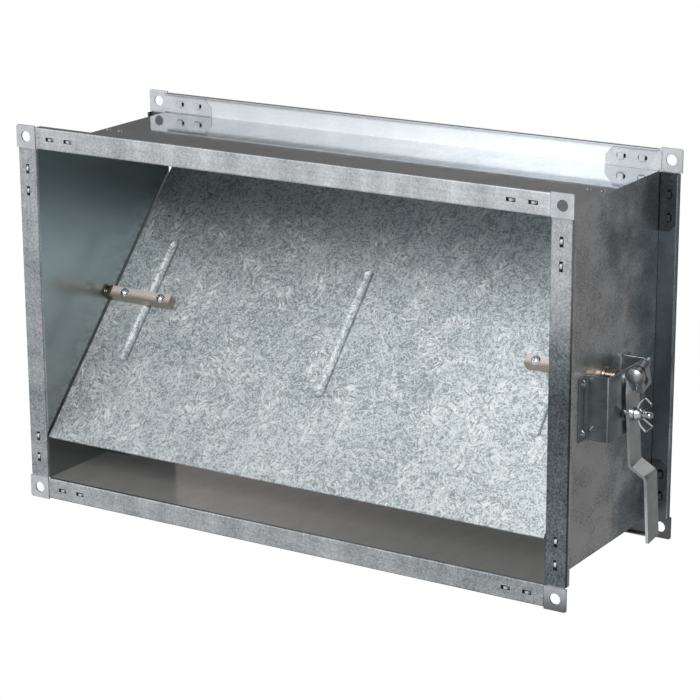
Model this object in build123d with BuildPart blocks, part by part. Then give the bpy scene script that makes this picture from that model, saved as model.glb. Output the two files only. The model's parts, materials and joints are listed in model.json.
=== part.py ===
from build123d import *
import os
from math import cos, degrees, radians, sin

# Manual shutoff damper for a rectangular air duct, in millimetres and degrees.
# The origin is the centre of the front flange's face. +X is the lever's side,
# +Y runs through the duct to the back and +Z is up.

# Casing
duct_width = 500.0
duct_height = 300.0
casing_length = 196.0
casing_sheet = 0.8
flange_width = 19.0
lip_depth = 6.5
casing_bend = 1.3
strip_gap = 0.7
relief_gap = 0.3

# Corner plates
plate_sheet = 1.5
plate_overhang = 1.0
plate_leg = 50.0
plate_proud = 0.6
plate_corner_radius = 2.0
plate_end_chamfer = 8.0
plate_edge_gap = 0.3
bolt_hole_radius = 4.75

# Clinches that hold the corner plates to the strips
clinch_length = 8.4
clinch_width = 3.4
clinch_rise = 1.9
clinch_roof = 0.9
clinch_wall = 1.0
clinch_window = 1.3
clinch_taper = 10.0
clinch_pitch = 19.5
clinch_first_across = 15.5
clinch_first_up = 18.5

# Seam tabs and rivets
tab_width = 25.0
tab_length = 16.0
seam_rivet_first = 5.5
seam_rivet_pitch = 12.5
seam_rivet_shank = 1.5
seam_rivet_head = 2.4
seam_rivet_height = 0.9

# Blade
blade_angle = 47.0
blade_sheet = 1.0
blade_side_gap = 1.5
blade_edge_gap = 3.0
hem_width = 12.0
groove_margin = 42.0
groove_length = 127.0
groove_width = 9.0
groove_depth = 2.0

# Stub shafts, their bushes and their screws
shaft_side = 10.0
shaft_chamfer = 0.6
shaft_fit = 0.05
journal_radius = 4.4
tang_side = 6.0
left_shaft_proud = 1.7
right_shaft_proud = 0.2
bush_wall = 0.55
bush_rim = 1.0
bush_blade_gap = 0.2
bush_fit = 0.05
side_play = 0.3
collar_rim = 1.5
collar_flange = 3.0
collar_length = 11.0
collar_chamfer = 0.5
screw_radius = 2.5
screw_head_radius = 4.5
screw_head_height = 3.0
screw_before_groove = 18.0
screw_after_groove = 22.0
screw_inset = 10.0
screw_hole_gap = 0.2
screw_end = 1.5
thread_gap = 0.05
recess_width = 1.0
recess_span = 5.0
recess_depth = 1.4
shaft_nut_flats = 8.0
shaft_nut_height = 4.0

# Lever bracket
bracket_sheet = 1.5
bracket_stand_off = 21.4
bracket_side_margin = 4.0
bracket_foot = 12.0
bracket_over_hole = 3.8
bracket_below_slot = 16.0
bracket_bend = 0.4
bracket_shaft_gap = 0.4
slot_radius = 30.0
slot_overrun = 2.5
bracket_rivet_spacing = 42.0
bracket_rivet_inset = 6.6
bracket_rivet_shank = 2.0
bracket_rivet_head = 3.4
bracket_rivet_height = 1.6
rivet_tail_radius = 2.8
rivet_tail_height = 0.9

# Lever
lever_sheet = 2.5
lever_width = 20.0
lever_top_radius = 8.0
lever_shoulder = 10.0
lever_gap = 0.3
lever_boss = 2.0
lever_boss_radius = 7.0
lever_tilt = 7.0
lever_jog = 14.0
lever_jog_start = 73.0
lever_jog_run = 9.0
lever_length = 141.0
lever_bend = 3.0
lever_corner = 1.0

# Blade travel: fully open is level with the duct, fully closed is upright
closed_angle = 90.0

# Shaft clamp, its bolt and its nut
clamp_half = 8.3
clamp_wall = 2.5
clamp_width = 11.4
clamp_lean = 18.0
clamp_slit = 1.2
clamp_bolt_wall = 0.8
clamp_bolt_radius = 2.5
clamp_bolt_gap = 0.2
clamp_head_radius = 7.8
clamp_head_height = 3.6
clamp_nut_flats = 8.0
clamp_nut_height = 4.0
clamp_flange_radius = 5.2
clamp_flange_height = 1.3
clamp_bolt_end = 7.0

# Lock bolt, washer and wing nut
lock_radius = 3.0
lock_hole_gap = 0.2
lock_neck_gap = 0.4
lock_head_radius = 7.4
lock_head_height = 3.4
lock_head_gap = 0.3
washer_radius = 6.5
washer_thickness = 1.5
washer_gap = 0.2
wing_gap = 0.3
wing_fit = 0.05
wing_hub_radius = 6.0
wing_top_radius = 4.8
wing_hub_height = 6.5
wing_span = 26.2
wing_height = 12.0
wing_thickness = 2.0
wing_root = 0.6
wing_tip_start = 7.4
wing_tip_drop = 5.0
wing_corner = 1.6
lock_bolt_end = 3.7

# Sizes worked out from the ones above
half_width = duct_width / 2
half_height = duct_height / 2
wall_outside = half_width + casing_sheet
wall_top = half_height + casing_sheet
axis_y = casing_length / 2
strip_half_width = half_width - strip_gap
strip_half_height = half_height - strip_gap
plate_square = flange_width + plate_overhang
leg_face = plate_proud + casing_sheet
leg_back = leg_face + plate_sheet
wall_length = casing_length - 2 * (leg_back + relief_gap)
strip_middle = flange_width / 2
bend_inside = casing_bend - casing_sheet
leg_low = casing_sheet + bend_inside + plate_edge_gap
leg_width = flange_width - 2 * leg_low
groove_radius = (groove_width**2 / 4 + groove_depth**2) / (2 * groove_depth)
groove_half = (groove_length - groove_width) / 2
groove_spacing = half_width - groove_margin
blade_half_width = half_width - blade_side_gap
blade_half_height = half_height - blade_edge_gap
blade_front = -shaft_side / 2
blade_back = blade_front - blade_sheet
groove_axis = blade_front + groove_radius - groove_depth
screw_places = [groove_spacing - screw_before_groove, groove_spacing + screw_after_groove]
shaft_inner_end = screw_places[0] - screw_inset
journal_bore = journal_radius + shaft_fit
tang_bore = tang_side + 2 * shaft_fit
tang_corner = tang_side / 2**0.5
bush_radius = journal_bore + bush_wall
bush_flange_radius = bush_radius + bush_rim
bush_flange_end = half_width - side_play
bush_flange_start = blade_half_width + bush_blade_gap
collar_radius = bush_radius + collar_rim
collar_start = wall_outside + side_play
left_shaft_end = collar_start + collar_length + left_shaft_proud
bracket_face = wall_outside + bracket_stand_off
bracket_back = bracket_face - bracket_sheet
bracket_hole = journal_radius + bracket_shaft_gap
bracket_half_width = slot_radius + bracket_side_margin
bracket_top = bracket_hole + bracket_over_hole
bracket_bottom = slot_radius + bracket_below_slot
bracket_height = bracket_top + bracket_bottom
lever_face = bracket_face + lever_gap + lever_boss
lever_outside = lever_face + lever_sheet
lever_half = lever_width / 2
clamp_middle = lever_outside + clamp_width / 2
clamp_bottom = tang_corner + clamp_wall
clamp_bolt_height = tang_corner + clamp_bolt_wall + clamp_bolt_gap + clamp_bolt_radius
clamp_top = clamp_bolt_height + clamp_width / 2
right_shaft_end = lever_outside + clamp_width + right_shaft_proud
open_swing = -blade_angle
closed_swing = closed_angle - blade_angle
straight_down = -90.0
washer_outside = lever_outside + washer_thickness
wing_start = washer_outside + wing_gap
wing_bore = lock_radius + wing_fit
lock_neck = 2 * lock_radius
slot_width = lock_neck + 2 * lock_neck_gap
lock_start = bracket_back - lock_head_gap
lock_end = wing_start + wing_hub_height + lock_bolt_end

# Planes
axis_point = (0, axis_y, 0)
mid_length = Plane(origin=axis_point, x_dir=(1, 0, 0), z_dir=(0, 1, 0))
blade_tilt = radians(blade_angle)
blade_plane = Plane(origin=axis_point, x_dir=(1, 0, 0), z_dir=(0, -sin(blade_tilt), cos(blade_tilt)))
side_section = Plane(origin=(0, 0, 0), x_dir=(0, 1, 0), z_dir=(0, 0, -1))
axis_section = Plane(origin=axis_point, x_dir=(0, 1, 0), z_dir=(1, 0, 0))
blade_up = (0, cos(blade_tilt), sin(blade_tilt))
shaft_section = Plane(origin=axis_point, x_dir=blade_up, z_dir=(1, 0, 0))
lever_lean = radians(lever_tilt)
lever_across = (0, cos(lever_lean), sin(lever_lean))
lever_side = Plane(origin=axis_point, x_dir=(1, 0, 0), z_dir=(0, -cos(lever_lean), -sin(lever_lean)))
lever_front = Plane(origin=axis_point, x_dir=lever_across, z_dir=(1, 0, 0))
clamp_tilt = radians(clamp_lean)
bolt_line = (0, cos(clamp_tilt), sin(clamp_tilt))
clamp_section = Plane(origin=axis_point, x_dir=bolt_line, z_dir=(1, 0, 0))
lock_point = (0, axis_y + slot_radius * sin(lever_lean), -slot_radius * cos(lever_lean))
lock_section = Plane(origin=lock_point, x_dir=lever_across, z_dir=(1, 0, 0))
lock_side = Plane(origin=lock_point, x_dir=(1, 0, 0), z_dir=lever_across)
bolt_point = clamp_section.from_local_coords((0, clamp_bolt_height, clamp_middle))
bolt_section = Plane(origin=bolt_point, x_dir=(1, 0, 0), z_dir=bolt_line)

clinch_across = [half_width - clinch_first_across, half_width - clinch_first_across - clinch_pitch]
clinch_up = [half_height - clinch_first_up, half_height - clinch_first_up - clinch_pitch]
seam_places = [wall_outside - seam_rivet_first, wall_outside - seam_rivet_first - seam_rivet_pitch]
foot_offset = bracket_half_width + bracket_rivet_inset
rivet_high = (bracket_top - bracket_bottom + bracket_rivet_spacing) / 2
rivet_low = rivet_high - bracket_rivet_spacing
bracket_rivet_places = [(y, z) for y in (-foot_offset, foot_offset) for z in (rivet_low, rivet_high)]


def both_signs(values):
    """Each value and its mirror image."""
    return [sign * value for sign in (1, -1) for value in values]


def headed_pin(section, head, rise, shank, length, domed=False):
    """A pin with a domed or coned head. The section's x axis runs out of the head, from its flat."""
    ball = (head**2 + rise**2) / (2 * rise)
    with BuildPart() as pin:
        with BuildSketch(section):
            with BuildLine():
                Polyline((rise, 0), (-length, 0), (-length, shank), (0, shank), (0, head))
                if domed:
                    RadiusArc((0, head), (rise, 0), ball)
                else:
                    Polyline((0, head), (rise, head - rise), (rise, 0))
            make_face()
        revolve(axis=Axis(section.origin, section.x_dir))
    return pin.part


def folded_edge(inside):
    """Corners of a panel's outer face: lip, strip, wall, strip and lip."""
    outside = inside + flange_width
    back = casing_length - plate_proud
    return [
        (plate_proud + lip_depth, outside),
        (plate_proud, outside),
        (plate_proud, inside),
        (back, inside),
        (back, outside),
        (back - lip_depth, outside),
    ]


os.makedirs("parts", exist_ok=True)


def save(piece, name):
    """Labels a finished piece and writes it to its own file."""
    piece.label = name
    export_step(piece, f"parts/{name}.step")


# Top panel: folded sheet whose wall lies over the side walls
with BuildPart() as top_panel:
    with BuildSketch(Plane.YZ.offset(-strip_half_width)):
        with BuildLine():
            FilletPolyline(*folded_edge(half_height), radius=casing_bend)
            offset(amount=casing_sheet, side=Side.LEFT)
        make_face()
    extrude(amount=2 * strip_half_width)
    with BuildSketch(Plane.XY.offset(half_height)):
        with Locations((0, axis_y)):
            Rectangle(2 * wall_outside, wall_length)
    extrude(amount=casing_sheet)
    with BuildSketch(Plane.XZ):
        with Locations(*[(x, half_height + strip_middle) for x in both_signs(clinch_across)]):
            Rectangle(clinch_length, clinch_width)
    extrude(amount=-casing_length, mode=Mode.SUBTRACT)
    with BuildSketch(Plane.XY.offset(half_height)):
        with Locations(*[(x, axis_y) for x in both_signs(seam_places)]):
            Circle(seam_rivet_shank)
    extrude(amount=casing_sheet, mode=Mode.SUBTRACT)
save(top_panel.part, "top_panel")

with BuildPart() as bottom_panel:
    mirror(top_panel.part, about=Plane.XY)
save(bottom_panel.part, "bottom_panel")

# Side wall with its strips, its bush hole and the tabs that the seam rivets hold
with BuildPart() as side_panel:
    with BuildSketch(side_section.offset(-strip_half_height)):
        with BuildLine():
            FilletPolyline(*folded_edge(half_width), radius=casing_bend)
            offset(amount=casing_sheet, side=Side.LEFT)
        make_face()
    extrude(amount=2 * strip_half_height)
    with BuildSketch(axis_section.offset(half_width)):
        Rectangle(wall_length, duct_height)
    extrude(amount=casing_sheet)
    for edge in (half_height - casing_sheet, -half_height):
        with BuildSketch(Plane.XY.offset(edge)):
            with Locations((wall_outside, axis_y)):
                Rectangle(tab_width, tab_length, align=(Align.MAX, Align.CENTER))
            with Locations(*[(x, axis_y) for x in seam_places]):
                Circle(seam_rivet_shank, mode=Mode.SUBTRACT)
        extrude(amount=casing_sheet)
    with BuildSketch(Plane.XZ):
        with Locations(*[(half_width + strip_middle, z) for z in both_signs(clinch_up)]):
            Rectangle(clinch_width, clinch_length)
    extrude(amount=-casing_length, mode=Mode.SUBTRACT)
    with BuildSketch(axis_section.offset(half_width)):
        Circle(bush_radius + bush_fit)
    extrude(amount=casing_sheet, mode=Mode.SUBTRACT)

with BuildPart() as left_panel:
    mirror(side_panel.part, about=Plane.YZ)
save(left_panel.part, "left_panel")

with BuildPart() as right_panel:
    add(side_panel.part)
    with BuildSketch(axis_section.offset(half_width)):
        with Locations(*bracket_rivet_places):
            Circle(bracket_rivet_shank)
    extrude(amount=casing_sheet, mode=Mode.SUBTRACT)
save(right_panel.part, "right_panel")

# Corner plate of the front flange, top right: joggled square, two legs and their clinches
leg_middle_x = half_width + strip_middle
leg_middle_z = half_height + strip_middle
across_clinches = [(x, leg_middle_z) for x in clinch_across]
up_clinches = [(leg_middle_x, z) for z in clinch_up]

with BuildPart() as corner_plate:
    with BuildSketch(Plane.XZ) as square_outline:
        with Locations((half_width, half_height)):
            Rectangle(plate_square, plate_square, align=(Align.MIN, Align.MIN))
        fillet(square_outline.vertices().group_by(Axis.X)[-1].sort_by(Axis.Y)[-1], plate_corner_radius)
        with Locations((half_width + plate_square / 2, half_height + plate_square / 2)):
            Circle(bolt_hole_radius, mode=Mode.SUBTRACT)
    extrude(amount=-plate_sheet)
    with BuildSketch(Plane.XZ.offset(-leg_face)) as leg_outline:
        with Locations((half_width - plate_leg, half_height + leg_low)):
            Rectangle(plate_leg + plate_sheet, leg_width, align=(Align.MIN, Align.MIN))
        with Locations((half_width + leg_low, half_height - plate_leg)):
            Rectangle(leg_width, plate_leg + plate_sheet, align=(Align.MIN, Align.MIN))
        chamfer(leg_outline.vertices().group_by(Axis.X)[0].sort_by(Axis.Y)[-1], plate_end_chamfer)
        chamfer(leg_outline.vertices().group_by(Axis.Y)[0].sort_by(Axis.X)[-1], plate_end_chamfer)
    extrude(amount=-plate_sheet)
    with BuildSketch(Plane.XZ):
        with Locations((half_width, half_height + leg_low)):
            Rectangle(plate_sheet, leg_width, align=(Align.MIN, Align.MIN))
        with Locations((half_width + leg_low, half_height)):
            Rectangle(leg_width, plate_sheet, align=(Align.MIN, Align.MIN))
    extrude(amount=-leg_back)
    with BuildSketch(Plane.XZ.offset(-leg_back)):
        bridge_length = clinch_length - 2 * clinch_window
        bridge_width = clinch_width + 2 * clinch_wall
        with Locations(*across_clinches):
            Rectangle(bridge_length, bridge_width)
        with Locations(*up_clinches):
            Rectangle(bridge_width, bridge_length)
    extrude(amount=-clinch_rise, taper=clinch_taper)
    with BuildSketch(Plane.XZ.offset(-leg_face)):
        with Locations(*across_clinches):
            Rectangle(clinch_length, clinch_width)
        with Locations(*up_clinches):
            Rectangle(clinch_width, clinch_length)
    extrude(amount=-(plate_sheet + clinch_rise - clinch_roof), mode=Mode.SUBTRACT)

# The eight corner plates are mirror images of that one
with BuildPart() as left_corner_plate:
    mirror(corner_plate.part, about=Plane.YZ)
for side, upper_front in (("right", corner_plate), ("left", left_corner_plate)):
    with BuildPart() as lower_front:
        mirror(upper_front.part, about=Plane.XY)
    with BuildPart() as upper_back:
        mirror(upper_front.part, about=mid_length)
    with BuildPart() as lower_back:
        mirror(lower_front.part, about=mid_length)
    save(upper_front.part, f"front_top_{side}_corner")
    save(lower_front.part, f"front_bottom_{side}_corner")
    save(upper_back.part, f"back_top_{side}_corner")
    save(lower_back.part, f"back_bottom_{side}_corner")

# Seam rivets: low heads outside the top and bottom panels, flush under the tabs
with BuildPart() as seam_rivets:
    for x in both_signs(seam_places):
        place = Plane(origin=(x, axis_y, wall_top), x_dir=(0, 0, 1), z_dir=(0, 1, 0))
        add(headed_pin(place, seam_rivet_head, seam_rivet_height, seam_rivet_shank, 2 * casing_sheet))
    mirror(about=Plane.XY)
save(seam_rivets.part, "seam_rivets")


def groove_form(x, radius):
    """The half-capsule behind the blade's front face that presses one groove."""
    middle = blade_plane.from_local_coords((x, 0, groove_axis))
    with BuildPart(Plane(origin=middle, x_dir=(1, 0, 0), z_dir=blade_up)) as form:
        Cylinder(radius, 2 * groove_half)
        with Locations((0, 0, groove_half), (0, 0, -groove_half)):
            Sphere(radius)
        split(bisect_by=blade_plane.offset(blade_front), keep=Keep.BOTTOM)
    return form.part


# Blade: sheet with hems folded to the back and three pressed grooves
with BuildPart() as blade:
    with BuildSketch(shaft_section.offset(-blade_half_width)):
        with Locations((0, blade_front)):
            Rectangle(2 * blade_half_height, blade_sheet, align=(Align.CENTER, Align.MAX))
        with Locations((blade_half_height, blade_back)):
            Rectangle(hem_width, blade_sheet, align=(Align.MAX, Align.MAX))
        with Locations((-blade_half_height, blade_back)):
            Rectangle(hem_width, blade_sheet, align=(Align.MIN, Align.MAX))
    extrude(amount=2 * blade_half_width)
    for x in (-groove_spacing, 0, groove_spacing):
        add(groove_form(x, groove_radius + blade_sheet))
        add(groove_form(x, groove_radius), mode=Mode.SUBTRACT)
    with BuildSketch(blade_plane.offset(blade_front)):
        with Locations(*[(x, 0) for x in both_signs(screw_places)]):
            Circle(screw_radius + screw_hole_gap)
    extrude(amount=-blade_sheet, mode=Mode.SUBTRACT)
save(blade.part, "blade")


def stub_shaft(journal_end):
    """A right-hand stub shaft: square on the blade, drilled for its screws, then a round journal."""
    with BuildPart() as shaft:
        with BuildSketch(shaft_section.offset(shaft_inner_end)):
            Rectangle(shaft_side, shaft_side)
        extrude(amount=blade_half_width - shaft_inner_end)
        chamfer(shaft.faces().filter_by(Axis.X).edges(), shaft_chamfer)
        with BuildSketch(axis_section.offset(blade_half_width)):
            Circle(journal_radius)
        extrude(amount=journal_end - blade_half_width)
        with BuildSketch(blade_plane.offset(blade_front)):
            with Locations(*[(x, 0) for x in screw_places]):
                Circle(screw_radius + screw_hole_gap)
        extrude(amount=shaft_side, mode=Mode.SUBTRACT)
    return shaft.part


with BuildPart() as left_shaft:
    mirror(stub_shaft(left_shaft_end), about=Plane.YZ)
    chamfer(left_shaft.faces().sort_by(Axis.X)[0].edges(), shaft_chamfer)
save(left_shaft.part, "left_shaft")

# The right shaft goes on as a square tang, which turns with the lever
with BuildPart() as right_shaft:
    add(stub_shaft(bracket_face))
    with BuildSketch(shaft_section.offset(bracket_face)):
        Rectangle(tang_side, tang_side)
    extrude(amount=right_shaft_end - bracket_face)
    chamfer(right_shaft.faces().sort_by(Axis.X)[-1].edges(), shaft_chamfer)
save(right_shaft.part, "right_shaft")

# Bush: flanged inside the wall, turning in the wall's hole with the shaft
with BuildPart() as right_bush:
    with BuildSketch(axis_section.offset(bush_flange_start)):
        Circle(bush_flange_radius)
    extrude(amount=bush_flange_end - bush_flange_start)
    with BuildSketch(axis_section.offset(bush_flange_end)):
        Circle(bush_radius)
    extrude(amount=collar_start - bush_flange_end)
    with BuildSketch(axis_section.offset(bush_flange_start)):
        Circle(journal_bore)
    extrude(amount=collar_start - bush_flange_start, mode=Mode.SUBTRACT)
save(right_bush.part, "right_bush")

# Flanged collar that keeps the bush from sliding into the duct
with BuildPart() as right_collar:
    with BuildSketch(axis_section.offset(collar_start)):
        Circle(collar_radius)
    extrude(amount=collar_flange)
    chamfer(right_collar.edges().filter_by(GeomType.CIRCLE), collar_chamfer)
    with BuildSketch(axis_section.offset(collar_start)):
        Circle(bush_radius)
    extrude(amount=collar_length)
    with BuildSketch(axis_section.offset(collar_start)):
        Circle(journal_bore)
    extrude(amount=collar_length, mode=Mode.SUBTRACT)
save(right_collar.part, "right_collar")

for name, right_piece in (("left_bush", right_bush), ("left_collar", right_collar)):
    with BuildPart() as left_piece:
        mirror(right_piece.part, about=Plane.YZ)
    save(left_piece.part, name)


def pan_screw(x):
    """A pan-head screw with a cross recess, from the shaft's front face through the blade."""
    place = blade_plane.from_local_coords((x, 0, shaft_side / 2))
    section = Plane(origin=place, x_dir=blade_plane.z_dir, z_dir=blade_up)
    length = shaft_side + blade_sheet + shaft_nut_height + screw_end
    with BuildPart() as screw:
        add(headed_pin(section, screw_head_radius, screw_head_height, screw_radius, length, domed=True))
        with BuildSketch(blade_plane.offset(shaft_side / 2 + screw_head_height)):
            with Locations((x, 0)):
                Rectangle(recess_span, recess_width)
                Rectangle(recess_width, recess_span)
        extrude(amount=-recess_depth, mode=Mode.SUBTRACT)
    return screw.part


with BuildPart() as shaft_screws:
    for x in both_signs(screw_places):
        add(pan_screw(x))
save(shaft_screws.part, "shaft_screws")

with BuildPart() as shaft_nuts:
    with BuildSketch(blade_plane.offset(blade_back)):
        with Locations(*[(x, 0) for x in both_signs(screw_places)]):
            RegularPolygon(shaft_nut_flats / 2, side_count=6, major_radius=False)
            Circle(screw_radius + thread_gap, mode=Mode.SUBTRACT)
    extrude(amount=-shaft_nut_height)
save(shaft_nuts.part, "shaft_nuts")

# Lever bracket: folded hat section with the shaft's hole and the lock bolt's arc slot
foot_face = wall_outside + bracket_sheet
outer_bend = bracket_bend + bracket_sheet
slot_spare = degrees(slot_overrun / slot_radius)
slot_start = straight_down + lever_tilt + open_swing - slot_spare
slot_sweep = closed_swing - open_swing + 2 * slot_spare
with BuildPart() as lever_bracket:
    with BuildSketch(side_section.offset(-bracket_top)):
        with BuildLine():
            FilletPolyline(
                (axis_y - bracket_half_width - bracket_foot, foot_face),
                (axis_y - bracket_half_width, foot_face),
                (axis_y - bracket_half_width, bracket_face),
                (axis_y + bracket_half_width, bracket_face),
                (axis_y + bracket_half_width, foot_face),
                (axis_y + bracket_half_width + bracket_foot, foot_face),
                radius=[bracket_bend, outer_bend, outer_bend, bracket_bend],
            )
            offset(amount=bracket_sheet, side=Side.RIGHT)
        make_face()
    extrude(amount=bracket_height)
    with BuildSketch(axis_section.offset(bracket_back)):
        Circle(bracket_hole)
    extrude(amount=bracket_sheet, mode=Mode.SUBTRACT)
    with BuildSketch(axis_section.offset(bracket_face)):
        with BuildLine():
            slot_line = CenterArc((0, 0), slot_radius, slot_start, slot_sweep)
        SlotArc(slot_line, slot_width)
    extrude(amount=-bracket_sheet, mode=Mode.SUBTRACT)
    with BuildSketch(axis_section.offset(wall_outside)):
        with Locations(*bracket_rivet_places):
            Circle(bracket_rivet_shank)
    extrude(amount=bracket_sheet, mode=Mode.SUBTRACT)
save(lever_bracket.part, "lever_bracket")

# Bracket rivets: coned heads on the feet, upset tails inside the wall
with BuildPart() as bracket_rivets:
    for y, z in bracket_rivet_places:
        place = Plane(origin=(foot_face, axis_y + y, z), x_dir=(1, 0, 0), z_dir=(0, 1, 0))
        grip = bracket_sheet + casing_sheet
        add(headed_pin(place, bracket_rivet_head, bracket_rivet_height, bracket_rivet_shank, grip))
    with BuildSketch(axis_section.offset(half_width)):
        with Locations(*bracket_rivet_places):
            Circle(rivet_tail_radius)
    extrude(amount=-rivet_tail_height)
save(bracket_rivets.part, "bracket_rivets")

# Lever: flat bar with a jog, a boss with the tang's square hole and a hole for the lock bolt
with BuildPart() as lever:
    jog_end = lever_jog_start + lever_jog_run
    with BuildSketch(lever_side):
        with BuildLine():
            FilletPolyline(
                (lever_outside, lever_top_radius),
                (lever_outside, -lever_jog_start),
                (lever_outside + lever_jog, -jog_end),
                (lever_outside + lever_jog, -lever_length),
                radius=[lever_bend, lever_bend + lever_sheet],
            )
            offset(amount=lever_sheet, side=Side.RIGHT)
        make_face()
    extrude(amount=lever_half, both=True)
    with BuildSketch(lever_front.offset(lever_face)) as lever_outline:
        Circle(lever_top_radius)
        with Locations((0, -lever_shoulder)):
            Rectangle(lever_width, lever_length - lever_shoulder, align=(Align.CENTER, Align.MAX))
        make_hull()
        fillet(lever_outline.vertices().group_by(Axis.Y)[0], lever_corner)
        with Locations((0, -slot_radius)):
            Circle(lock_radius + lock_hole_gap, mode=Mode.SUBTRACT)
    extrude(amount=lever_sheet + lever_jog, mode=Mode.INTERSECT)
    with BuildSketch(lever_front.offset(lever_face)):
        Circle(lever_boss_radius)
    extrude(amount=-lever_boss)
    with BuildSketch(shaft_section.offset(lever_outside)):
        Rectangle(tang_bore, tang_bore)
    extrude(amount=-(lever_sheet + lever_boss), mode=Mode.SUBTRACT)
save(lever.part, "lever")

# Shaft clamp: a block on the tang, split above it between two rounded ears
with BuildPart() as shaft_clamp:
    with BuildSketch(clamp_section.offset(lever_outside)):
        with Locations((0, clamp_top)):
            Rectangle(2 * clamp_half, clamp_top + clamp_bottom, align=(Align.CENTER, Align.MAX))
        Rectangle(tang_bore, tang_bore, rotation=blade_angle - clamp_lean, mode=Mode.SUBTRACT)
        Rectangle(clamp_slit, clamp_top, align=(Align.CENTER, Align.MIN), mode=Mode.SUBTRACT)
    extrude(amount=clamp_width)
    with BuildSketch(bolt_section):
        Circle(clamp_width / 2)
        Rectangle(clamp_width, clamp_bolt_height + clamp_bottom, align=(Align.CENTER, Align.MIN))
    extrude(amount=2 * clamp_half, both=True, mode=Mode.INTERSECT)
    with BuildSketch(bolt_section):
        Circle(clamp_bolt_radius + clamp_bolt_gap)
    extrude(amount=2 * clamp_half, both=True, mode=Mode.SUBTRACT)
save(shaft_clamp.part, "shaft_clamp")

# Clamp bolt with its domed head at the front, and its flanged nut at the back
head_point = clamp_section.from_local_coords((-clamp_half, clamp_bolt_height, clamp_middle))
head_side = Plane(origin=head_point, x_dir=-bolt_section.z_dir, z_dir=(1, 0, 0))
clamp_grip = 2 * clamp_half + clamp_flange_height + clamp_nut_height
with BuildPart() as clamp_bolt:
    length = clamp_grip + clamp_bolt_end
    add(headed_pin(head_side, clamp_head_radius, clamp_head_height, clamp_bolt_radius, length, domed=True))
save(clamp_bolt.part, "clamp_bolt")

with BuildPart() as clamp_nut:
    with BuildSketch(bolt_section.offset(clamp_half)):
        Circle(clamp_flange_radius)
    extrude(amount=clamp_flange_height)
    with BuildSketch(bolt_section.offset(clamp_half + clamp_flange_height)):
        RegularPolygon(clamp_nut_flats / 2, side_count=6, major_radius=False)
    extrude(amount=clamp_nut_height)
    with BuildSketch(bolt_section.offset(clamp_half)):
        Circle(clamp_bolt_radius + thread_gap)
    extrude(amount=clamp_flange_height + clamp_nut_height, mode=Mode.SUBTRACT)
save(clamp_nut.part, "clamp_nut")

# Lock bolt: coned head behind the bracket's face, square neck in its slot
lock_head_point = lock_section.from_local_coords((0, 0, lock_start))
lock_head = Plane(origin=lock_head_point, x_dir=(-1, 0, 0), z_dir=(0, 1, 0))
with BuildPart() as lock_bolt:
    add(headed_pin(lock_head, lock_head_radius, lock_head_height, lock_radius, lock_end - lock_start))
    with BuildSketch(lock_section.offset(lock_start)):
        Rectangle(lock_neck, lock_neck)
    extrude(amount=bracket_face - lock_start)
save(lock_bolt.part, "lock_bolt")

with BuildPart() as lock_washer:
    with BuildSketch(lock_section.offset(lever_outside)):
        Circle(washer_radius)
        Circle(lock_radius + washer_gap, mode=Mode.SUBTRACT)
    extrude(amount=washer_thickness)
save(lock_washer.part, "lock_washer")

# Wing nut: tapered hub and two wings that lean outwards and widen to their tips
lever_up = lever_front.y_dir
with BuildPart() as wing_nut:
    with BuildSketch(lock_side):
        with BuildLine():
            Polyline(
                (wing_start, wing_bore),
                (wing_start, wing_hub_radius),
                (wing_start + wing_hub_height, wing_top_radius),
                (wing_start + wing_hub_height, wing_bore),
                close=True,
            )
        make_face()
    revolve(axis=Axis(lock_point, (1, 0, 0)))
    with BuildSketch(lock_side) as wing_outline:
        with BuildLine():
            Polyline(
                (wing_start + wing_root, wing_bore + wing_root),
                (wing_start + wing_tip_start, wing_span / 2),
                (wing_start + wing_height, wing_span / 2 - wing_tip_drop),
                (wing_start + wing_hub_height, wing_bore + wing_root),
                close=True,
            )
        make_face()
        fillet(wing_outline.vertices().sort_by(Axis.Y)[-2:], wing_corner)
    extrude(amount=wing_thickness / 2, both=True)
    mirror(about=Plane(origin=lock_point, x_dir=(1, 0, 0), z_dir=lever_up))
save(wing_nut.part, "wing_nut")
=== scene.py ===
import json
from collections import namedtuple
from math import asin, atan2, cos, radians, sin, tau

import bmesh
import bpy
from bpy.props import FloatProperty, FloatVectorProperty, PointerProperty
from mathutils import Matrix, Vector


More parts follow.
